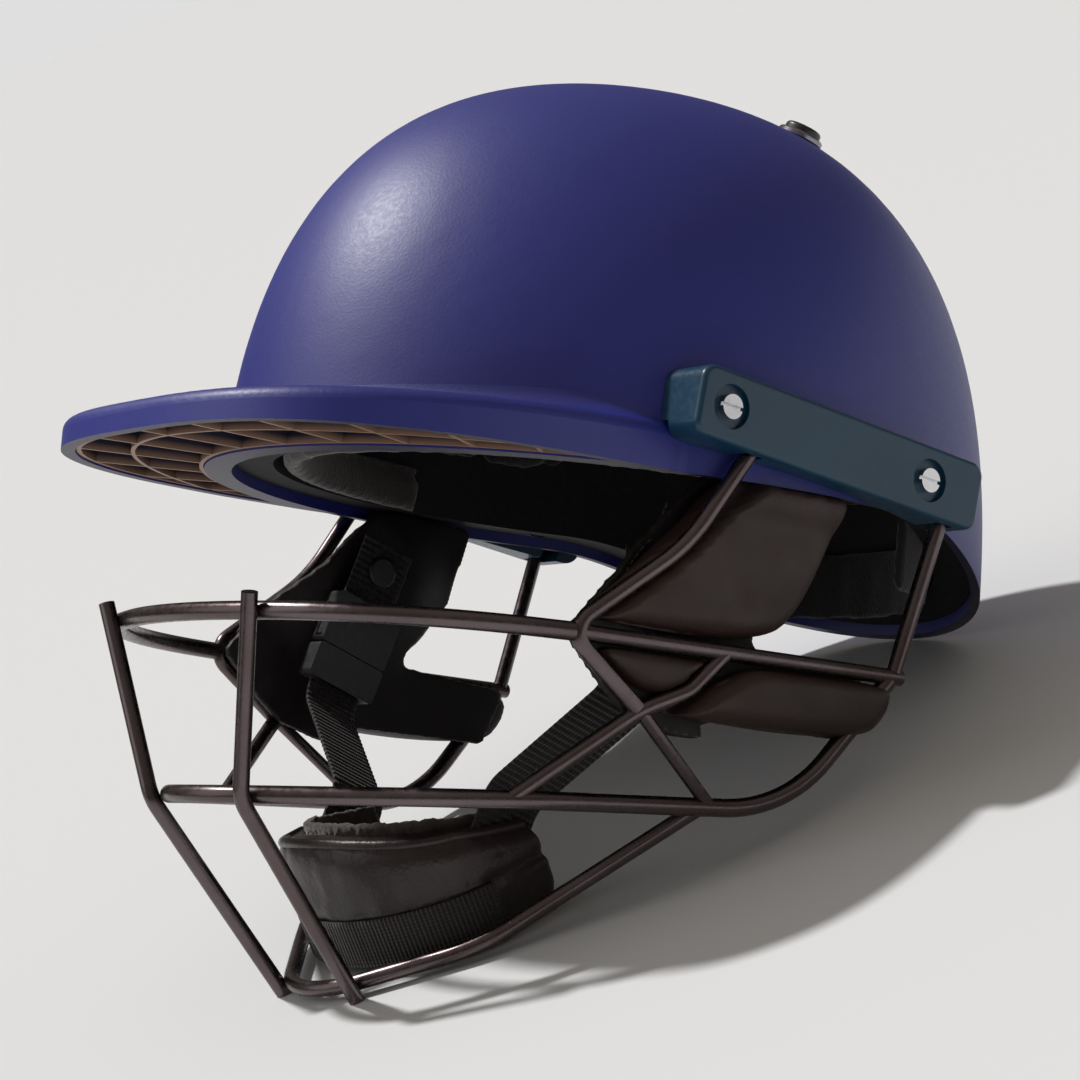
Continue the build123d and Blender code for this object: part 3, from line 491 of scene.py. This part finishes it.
def stitches(name, points, normal_at):
    """A row of short thread stitches that dip at their ends."""
    mesh = bpy.data.meshes.new(name)
    bm = bmesh.new()
    marks = spaced(points, stitch_length + stitch_gap)
    for start, end in zip(marks, marks[1:]):
        run = end - start
        end = start + run * (stitch_length / (stitch_length + stitch_gap))
        out = normal_at(start)
        side = run.cross(out).normalized()
        rings = []
        for share in (0.0, 0.2, 0.5, 0.8, 1.0):
            lift = stitch_radius * (1.2 * sin(pi * share) - 0.1)
            size = stitch_radius * (0.55 + 0.45 * sin(pi * share))
            middle = start.lerp(end, share) + out * lift
            rings.append(
                [
                    bm.verts.new(middle + size * (side * cos(k * pi / 3) + out * sin(k * pi / 3)))
                    for k in range(6)
                ]
            )
        for low, high in zip(rings, rings[1:]):
            for k in range(6):
                bm.faces.new((low[k], low[k - 1], high[k - 1], high[k]))
        bm.faces.new(rings[0])
        bm.faces.new(reversed(rings[-1]))
    bmesh.ops.recalc_face_normals(bm, faces=bm.faces)
    bm.to_mesh(mesh)
    bm.free()
    return linked(name, mesh, thread)


def ribbon(name, centres, across_at, width, thickness, material, rib, pitch):
    """Ribbed webbing along centres. Its UV runs across and along, in metres."""
    flat, shoulder = 0.965, 0.35
    mesh = bpy.data.meshes.new(name)
    bm = bmesh.new()
    layer = bm.loops.layers.uv.new("along")
    half, rise = width / 2, thickness / 2
    top = [(half * (k / 4 - 1) * flat, rise) for k in range(9)]
    outline = top + [(half, shoulder * rise), (half, -shoulder * rise)]
    outline += [(x, -y) for x, y in reversed(top)]
    outline += [(-half, -shoulder * rise), (-half, shoulder * rise)]
    length, rings = 0.0, []
    for step, centre in enumerate(centres):
        before, after = centres[max(0, step - 1)], centres[min(len(centres) - 1, step + 1)]
        length += (centre - centres[step - 1]).length if step else 0.0
        run = (after - before).normalized()
        across = across_at(centre)
        out = run.cross(across).normalized()
        swell = rib * sin(2 * pi * length / pitch)
        ring = []
        for x, y in outline:
            lift = y + (swell if abs(y) > 0.9 * rise else 0) * (1 if y > 0 else -1)
            ring.append((bm.verts.new(centre + across * x + out * lift), x, length))
        rings.append(ring)
    for low, high in zip(rings, rings[1:]):
        for k in range(len(outline)):
            corners = (low[k], low[k - 1], high[k - 1], high[k])
            face = bm.faces.new([c[0] for c in corners])
            for loop, corner in zip(face.loops, corners):
                loop[layer].uv = (corner[1], corner[2])
    for ring in (rings[0], rings[-1]):
        face = bm.faces.new([c[0] for c in ring])
        for loop, corner in zip(face.loops, ring):
            loop[layer].uv = (corner[1], corner[2])
    bmesh.ops.recalc_face_normals(bm, faces=bm.faces)
    bm.to_mesh(mesh)
    bm.free()
    return linked(name, mesh, material)


def placed(piece, body, slot, *replaced):
    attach(piece, body)
    if replaced:
        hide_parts(*replaced)
    return piece


# Padding inside the shell. Its sewn channels lie at these x, y and z of the worn helmet
crown_rows, crown_column = (-44, 0, 40), 17
side_rows, rear_column, sweatband_row = (-30, 0, 26), 15, 63.5


def sewn_across(pad, rows, depth, width):
    """A sewn channel at each y in rows."""
    for row in rows:
        grooved(pad, lambda p, y=row: (worn_place(p)[1] - y) / 1000, depth, width)


def sewn_along(pad, column, depth, width):
    """Two sewn channels, at column to the left and to the right."""
    grooved(pad, lambda p: (abs(worn_place(p)[0]) - column) / 1000, depth, width)


crown = padded_copy("crown_padding", "crown_pad", panel_cloth, voxel=0.0035)
sewn_across(crown, crown_rows, 0.0018, 0.0045)
sewn_along(crown, crown_column, 0.0016, 0.004)
rear = padded_copy("rear_padding", "rear_pad", panel_cloth)
sewn_along(rear, rear_column, 0.0016, 0.004)
placed(crown, "helmet", "liner_fabric", "crown_pad")
placed(rear, "helmet", "liner_fabric", "rear_pad")
for side in ("left", "right"):
    pad = padded_copy(f"side_padding_{side}", f"side_pad_{side}", panel_cloth)
    sewn_across(pad, side_rows, 0.0016, 0.004)
    placed(pad, "helmet", "liner_fabric", f"side_pad_{side}")

sweatband = padded_copy("rolled_sweatband", "front_sweatband", band_cloth, voxel=0.0025)
grooved(sweatband, lambda p: (worn_place(p)[2] - sweatband_row) / 1000, 0.0011, 0.003)
placed(sweatband, "helmet", "sweatband_fabric", "front_sweatband")
nape = padded_copy("nape_padding", "nape_band", panel_cloth, voxel=0.0022, shrink=0.0005, cap=0.0008)
placed(nape, "helmet", "liner_fabric", "nape_band")

# Ear guards. Outlines are y and z of the worn helmet, on its left, and rods x, y and z.
lining_edge = (
    (-53.0, 32.0),
    (-73.0, 15.0),
    (-88.0, -1.0),
    (-71.0, -15.6),
    (-46.0, -33.0),
    (-34.0, -33.0),
)
stud_spot = Vector((-36.0, 30.0))
bow_depth, bow_start, bow_end = 7.0, 15, 40
lining_face, pad_base = 86.6, 86.9
lining_seam_inset, lining_seam_middle = 0.0024, -50.0
guard_rods = (
    ((100.6, -27.5, 51.0), (100.6, -50.0, 27.5), (96.9, -87.0, -0.8), (97.0, -60.0, -20.5)),
    ((97.0, -83.6, -1.0), (100.4, 33.4, -1.0)),
    ((99.2, -31.5, -1.6), (98.3, -44.0, -13.5), (82.0, -89.3, -46.6)),
)
rod_reach, groove_slope = 3.1, 2.2
ear_pad_voxel, ear_pad_cap = 0.0014, 0.0010
ear_pad_rounding, ear_pad_least, ear_pad_pitch = 4.2, 0.5, 1.6
grain_depth, grain_scale = 0.35, 90
lip_rise, lip_start, lip_end = 2.6, 36, 45
shell_edge, face_in_shell = 48.4, 97.0
front_draw, front_draw_start = 0.1, -60
low_draw, low_draw_start = 0.6, -21.5
ear_pads = (
    (
        "upper",
        100.9,
        (
            (-28.0, 51.5),
            (-36.9, 45.0),
            (-47.7, 32.1),
            (-68.0, 16.1),
            (-82.0, 4.6),
            (-75.1, 3.2),
            (-17.6, 3.2),
            (-6.0, 13.9),
            (0.1, 25.6),
            (6.9, 40.3),
            (9.0, 51.5),
        ),
    ),
    (
        "front",
        100.0,
        (
            (-77.0, -4.0),
            (-64.1, -3.6),
            (-32.0, -3.6),
            (-35.0, -7.0),
            (-41.4, -11.6),
            (-54.5, -15.6),
            (-65.5, -12.2),
        ),
    ),
    (
        "rear",
        103.9,
        (
            (-57.0, -19.6),
            (-38.6, -13.0),
            (-25.6, -5.0),
            (-10.1, -3.2),
            (28.0, -3.6),
            (29.6, -6.6),
            (27.5, -13.8),
            (20.3, -20.4),
            (-11.9, -21.2),
            (-38.0, -21.0),
        ),
    ),
)


def eased(value, low, high):
    share = max(0.0, min(1.0, (value - low) / (high - low)))
    return share * share * (3 - 2 * share)


def bow(y, z):
    """How far the ear guard is bowed out from its stud to the rods."""
    return bow_depth * eased((Vector((y, z)) - stud_spot).length, bow_start, bow_end)


def nearest(y, z, start, end):
    """The distance of a place from a line in y and z, and the share of the line that it's at."""
    run = Vector(end) - Vector(start)
    arm = Vector((y, z)) - Vector(start)
    share = max(0.0, min(1.0, arm.dot(run) / run.length_squared))
    return (arm - run * share).length, share


def rod_limit(y, z):
    """How far out a pad can stand before it meets a rod."""
    limits = []
    for line in guard_rods:
        for start, end in zip(line, line[1:]):
            gap, share = nearest(y, z, start[1:], end[1:])
            middle = start[0] + share * (end[0] - start[0])
            if gap < rod_reach:
                limits.append(middle - sqrt(rod_reach**2 - gap**2))
            else:
                limits.append(middle + groove_slope * (gap - rod_reach))
    return min(limits)


def ear_padding(name, outline, face, sign):
    """A moulded pad that fills its outline and is grooved where a rod crosses it."""
    corners = [(y, z, 0) for y, z in outline]
    edge = spaced(rounded_corners(corners, closed=True, passes=2), ear_pad_pitch, closed=True)
    mesh = bpy.data.meshes.new(name)
    bm = bmesh.new()
    rings = [[bm.verts.new(worn(sign * x, p.x, p.y)) for p in edge] for x in (pad_base, face)]
    for k in range(len(edge)):
        bm.faces.new((rings[0][k], rings[0][k - 1], rings[1][k - 1], rings[1][k]))
    bmesh.ops.triangulate(bm, faces=[bm.faces.new(rings[0]), bm.faces.new(reversed(rings[1]))])
    bmesh.ops.recalc_face_normals(bm, faces=bm.faces)
    bm.to_mesh(mesh)
    bm.free()
    piece = linked(name, mesh, pad_leather)
    remeshed(piece, ear_pad_voxel, 2)
    inflated(piece, ear_pad_cap)
    sides = list(zip(edge, edge[1:] + edge[:1]))

    def shift(place, normal):
        x, y, z = worn_place(place)
        gap = min(nearest(y, z, start.xy, end.xy)[0] for start, end in sides)
        inward = min(gap / ear_pad_rounding, 1)
        drop = ear_pad_rounding * (1 - sqrt(1 - (1 - inward) ** 2))
        form = face + lip_rise * eased(z, lip_start, lip_end) - drop
        if z > shell_edge:
            form = min(form, face_in_shell)
        low = pad_base + bow(y, z)
        top = max(low + ear_pad_least, min(form, rod_limit(y, z)))
        share = (sign * x - pad_base) / (face - pad_base)
        grain = grain_depth * noise.noise(place * grain_scale) * max(share, 0)
        return Vector((sign * (low + share * (top - low) + grain - sign * x) / 1000, 0, 0))

    moved(piece, shift)
    return piece


def bowed(place, normal=None):
    """Bows the lining out, and draws in its front edge and its lower corner."""
    x, y, z = worn_place(place)
    spot = worn(
        x + bow(y, z) * (1 if x > 0 else -1),
        y + front_draw * max(0.0, front_draw_start - y),
        z + low_draw * max(0.0, low_draw_start - z),
    )
    return spot - place


for side, sign in (("left", 1), ("right", -1)):
    lining = copied(f"ear_lining_sheet_{side}", f"ear_lining_{side}", lining_leather)
    remeshed(lining, 0.0012, 2)
    moved(lining, bowed)
    placed(lining, "helmet", "ear_lining", f"ear_lining_{side}")
    for part, face, outline in ear_pads:
        pad = ear_padding(f"ear_padding_{part}_{side}", outline, face, sign)
        placed(pad, "helmet", "ear_pad", f"ear_pad_{part}_{side}")


# Chin strap
strap_axis = Vector((0, -36.0, 30.0))
strap_pivot = Vector((0, -67.0, -62.0))
strap_down = (strap_pivot - strap_axis).normalized()
strap_length = (strap_pivot - strap_axis).length
strap_across = Vector((0, -strap_down.z, strap_down.y))
strap_side, strap_tongue = 79.5, 41.0
strap_run, strap_cross, strap_bend = 48.0, 79.0, 10.0
buckle_top, buckle_end, buckle_overlap = 12.0, 42.0, 3.9
line_overrun, web_overrun = 10.0, 9.8
web_width, web_thickness, web_rib = 0.0198, 0.0013, 0.00012


def bent(points, radius, step=0.5):
    """A polyline of x and run with its corners rounded, at an even step."""
    points = [Vector((*p, 0)) for p in points]
    out = [points[0]]
    for before, corner, after in zip(points, points[1:], points[2:]):
        one, two = (before - corner).normalized(), (after - corner).normalized()
        half = one.angle(two) / 2
        reach = radius / (sin(half) / cos(half))
        start, end = corner + one * reach, corner + two * reach
        middle = corner + (one + two).normalized() * (radius / sin(half))
        turn = pi - 2 * half
        for k in range(13):
            share = k / 12
            arm = (start - middle) * sin((1 - share) * turn) + (end - middle) * sin(share * turn)
            out.append(middle + arm / sin(turn))
    out.append(points[-1])
    return spaced(out, step)


def strap_point(x, run, sign):
    place = strap_axis + strap_down * run
    return worn(sign * x, place.y, place.z)


across_row = turned(strap_across)
strap_line = bent(
    (
        (strap_side, -line_overrun),
        (strap_side, strap_run),
        (strap_tongue, strap_cross),
        (strap_tongue, strap_length + line_overrun),
    ),
    strap_bend,
)


def strap_piece(name, node, sign, low, high):
    part = [p for p in strap_line if low <= p.y <= high]
    centres = [strap_point(p.x, p.y, sign) for p in part]
    piece = ribbon(
        name,
        centres,
        lambda c: across_row,
        web_width,
        web_thickness,
        strap_web,
        rib=web_rib,
        pitch=strap_pitch,
    )
    return placed(piece, "strap", "webbing", node)


web_start, web_end = -web_overrun, strap_length + web_overrun
upper_end, lower_start = buckle_top + buckle_overlap, buckle_end - buckle_overlap
strap_piece("strap_web_left", "strap_left", 1, web_start, web_end)
strap_piece("strap_web_right_upper", "strap_right_upper", -1, web_start, upper_end)
strap_piece("strap_web_right_lower", "strap_right_lower", -1, lower_start, web_end)

# Chin cup
cup_base, cup_top = -23.4, 8.5
cup_up = Vector((0, -sin(rest_tilt), cos(rest_tilt)))
cup_back = Vector((0, cos(rest_tilt), sin(rest_tilt)))


def cup_place(x, back, height):
    """A place by the cup's own axes, in the row frame."""
    place = strap_pivot + cup_back * back + cup_up * height
    return worn(x, place.y, place.z)


def cup_axes(place):
    """The cup's x, back and height of a place in the row frame, in millimetres."""
    x, y, z = worn_place(place)
    local = Vector((0, y, z)) - strap_pivot
    return x, local.dot(cup_back), local.dot(cup_up)


cup_middle = cup_place(0, 0, 0)


def outward(place):
    arm = place - cup_middle
    return (arm - turned(cup_up) * arm.dot(turned(cup_up))).normalized()


edge_rise, edge_wave, edge_drop = 12.5, 112, 2.5
arm_fall, arm_fall_start = 0.28, -10
rise_start, rise_end = -12, 8


def wavy(place):
    """The sewn edge of the cup rises in front and falls towards the ends of the arms."""
    x, back, height = cup_axes(place)
    lift = edge_rise * cos(pi * x / edge_wave) - edge_drop
    lift = (lift - arm_fall * max(0.0, back - arm_fall_start)) * eased(height, rise_start, rise_end)
    return place + turned(cup_up) * lift / 1000


cup_swell, swell_start, swell_full, swell_less, swell_gone = 0.0022, -22, -14, 3, 9
cup_groove = -6.0
cup = copied("chin_cup_leather", "chin_cup", cup_leather)
remeshed(cup, 0.0016, 3)


def crumple(place, normal):
    """Folds the leather, and swells its outside below the edge."""
    _, _, height = cup_axes(place)
    spot = place * 60
    fold = noise.noise(Vector((spot.x, spot.y, spot.z * 1.6)))
    fine = noise.noise(place * 170) + 0.5 * noise.noise(place * 330)
    swell = cup_swell if normal.dot(outward(place)) > 0.2 else 0.0
    swell = swell * eased(height, swell_start, swell_full)
    swell = swell * eased(-height, -swell_gone, -swell_less)
    return normal * (-0.0004 + 0.0007 * fold + 0.0003 * fine + swell)


moved(cup, crumple)
moved(cup, lambda place, normal: wavy(place) - place)
grooved(cup, lambda p: (cup_axes(p)[2] - cup_groove) / 1000, 0.0009, 0.0022)
placed(cup, "chin_cup", "cup", "chin_cup")

fleece = copied("cup_fleece", "cup_lining", fleece_cloth)
remeshed(fleece, 0.0009, 2)


def fluff(place, normal):
    return normal * (0.00025 + 0.0006 * noise.noise(place * 900) + 0.0004 * noise.noise(place * 350))


moved(fleece, fluff)
moved(fleece, lambda place, normal: wavy(place) - place)
placed(fleece, "chin_cup", "fleece", "cup_lining")

cup_half_width, cup_depth, cup_arm = 45.0, 34.0, 13.0
piping_inset, piping_height, piping_arm, piping_radius = 1.6, cup_top - 0.6, cup_arm - 1.5, 0.0017
seam_inset, seam_height, seam_arm = 0.35, 5.6, cup_arm - 4
sleeve_inset, sleeve_height, sleeve_arm, sleeve_end = -2.0, cup_base + 10.1, 0.0, -6.2
sleeve_width, sleeve_thickness, sleeve_rib = 0.0148, 0.0012, 0.00006


def cup_rim(inset, height, arm):
    """The cup's plan as a line at a height, from one arm's end round the front to the other."""
    half_width, depth = cup_half_width - inset, cup_depth - inset
    points = [cup_place(-half_width, arm, height)]
    for k in range(41):
        turn = pi * k / 40
        points.append(cup_place(-half_width * cos(turn), -depth * sin(turn), height))
    points.append(cup_place(half_width, arm, height))
    return [wavy(p) for p in spaced(points, 0.0008)]


piping_line = cup_rim(piping_inset, piping_height, piping_arm)
piping = tube("cup_piping", piping_line, piping_radius, cup_leather, sides=12)
placed(piping, "chin_cup", "cup")
seam = stitches("cup_seam", cup_rim(seam_inset, seam_height, seam_arm), outward)
placed(seam, "chin_cup", "cup")

sleeve_points = cup_rim(sleeve_inset, sleeve_height, sleeve_arm)
sleeve_points = [p for p in sleeve_points if cup_axes(p)[1] < sleeve_end]
sleeve = ribbon(
    "cup_sleeve_web",
    sleeve_points,
    lambda c: turned(cup_up),
    sleeve_width,
    sleeve_thickness,
    sleeve_web,
    rib=sleeve_rib,
    pitch=sleeve_pitch,
)
placed(sleeve, "chin_cup", "webbing", "cup_sleeve")

# Stitched edge of each ear lining
for side, sign in (("left", 1), ("right", -1)):
    edge = rounded_corners([worn(sign * lining_face, y, z) for y, z in lining_edge], closed=False)
    middle = worn(sign * lining_face, lining_seam_middle, 0.0)
    edge = [p + (middle - p).normalized() * lining_seam_inset for p in edge]
    edge = [p + bowed(p) for p in edge]
    row = stitches(f"lining_seam_{side}", edge, lambda p, s=sign: Vector((s, 0, 0)))
    placed(row, "helmet", "ear_lining")

# Floor, light and camera
floor_reach, floor_level = 50, -0.0002
floor_mesh = bpy.data.meshes.new("floor")
floor_corners = [(-1, -1), (1, -1), (1, 1), (-1, 1)]
floor_mesh.from_pydata(
    [(x * floor_reach, y * floor_reach, floor_level) for x, y in floor_corners], [], [(0, 1, 2, 3)]
)
floor_paint = Surface("floor_paint", (0.725, 0.738, 0.755), 0.9)
floor = linked("floor", floor_mesh, floor_paint.material)

world = bpy.data.worlds.new("studio")
scene.world = world
world.use_nodes = True
sky = world.node_tree
background = sky.nodes["Background"]
background.inputs["Color"].default_value = (1.0, 0.91, 0.80, 1)
height = sky.nodes.new("ShaderNodeSeparateXYZ")
sky.links.new(sky.nodes.new("ShaderNodeTexCoord").outputs["Generated"], height.inputs[0])
glow = sky.nodes.new("ShaderNodeMapRange")
sky.links.new(height.outputs["Z"], glow.inputs["Value"])
glow.inputs["To Min"].default_value = 0.05
glow.inputs["To Max"].default_value = 0.34
sky.links.new(glow.outputs["Result"], background.inputs["Strength"])
backdrop = sky.nodes.new("ShaderNodeBackground")
backdrop.inputs["Color"].default_value = (0.74, 0.74, 0.74, 1)
seen = sky.nodes.new("ShaderNodeLightPath")
either = sky.nodes.new("ShaderNodeMixShader")
sky.links.new(seen.outputs["Is Camera Ray"], either.inputs["Fac"])
sky.links.new(background.outputs["Background"], either.inputs[1])
sky.links.new(backdrop.outputs["Background"], either.inputs[2])
sky.links.new(either.outputs["Shader"], sky.nodes["World Output"].inputs["Surface"])

azimuth, elevation, roll = radians(54.33), radians(-7.13), radians(4.43)
distance, focal, aim_x, aim_y = 1047.3, 3328.6, -20.63, 40.99
right = Vector((cos(azimuth), sin(azimuth), 0))
up = Vector((-sin(azimuth) * sin(elevation), cos(azimuth) * sin(elevation), cos(elevation)))
back = Vector((sin(azimuth) * cos(elevation), -cos(azimuth) * cos(elevation), sin(elevation)))
rolled_right = right * cos(roll) + up * sin(roll)
rolled_up = up * cos(roll) - right * sin(roll)
view_right, view_up, view_back = turned(rolled_right), turned(rolled_up), turned(back)
camera_data = bpy.data.cameras.new("camera")
sensor, picture = 36, 1080
camera_data.lens = sensor * focal / picture
camera_data.sensor_width = sensor
camera_data.clip_end = 200
camera = bpy.data.objects.new("camera", camera_data)
scene.collection.objects.link(camera)
spot = rolled_right * aim_x + rolled_up * aim_y + back * distance
basis = Matrix((view_right, view_up, view_back)).transposed().to_4x4()
camera.matrix_world = Matrix.Translation(worn(*spot)) @ basis
scene.camera = camera


def sun(name, direction, strength, angle, color):
    """A sun that stands in a direction, as wide as its angle in degrees."""
    lamp = bpy.data.lights.new(name, "SUN")
    lamp.energy = strength
    lamp.angle = radians(angle)
    lamp.color = color
    holder = bpy.data.objects.new(name, lamp)
    scene.collection.objects.link(holder)
    holder.rotation_mode = "QUATERNION"
    holder.rotation_quaternion = direction.to_track_quat("Z", "Y")


flat_right = Vector((view_right.x, view_right.y, 0)).normalized()
flat_back = Vector((view_back.x, view_back.y, 0)).normalized()
key_side = -0.36 * flat_right - 0.32 * flat_back + Vector((0, 0, 1.0))
soft_side = -0.77 * flat_right + 0.15 * flat_back + Vector((0, 0, 0.5))
sun("key", key_side, strength=2.6, angle=3.0, color=(1, 0.985, 0.965))
sun("soft", soft_side, strength=0.42, angle=50, color=(0.97, 0.98, 1))

scene.view_settings.view_transform = "Standard"
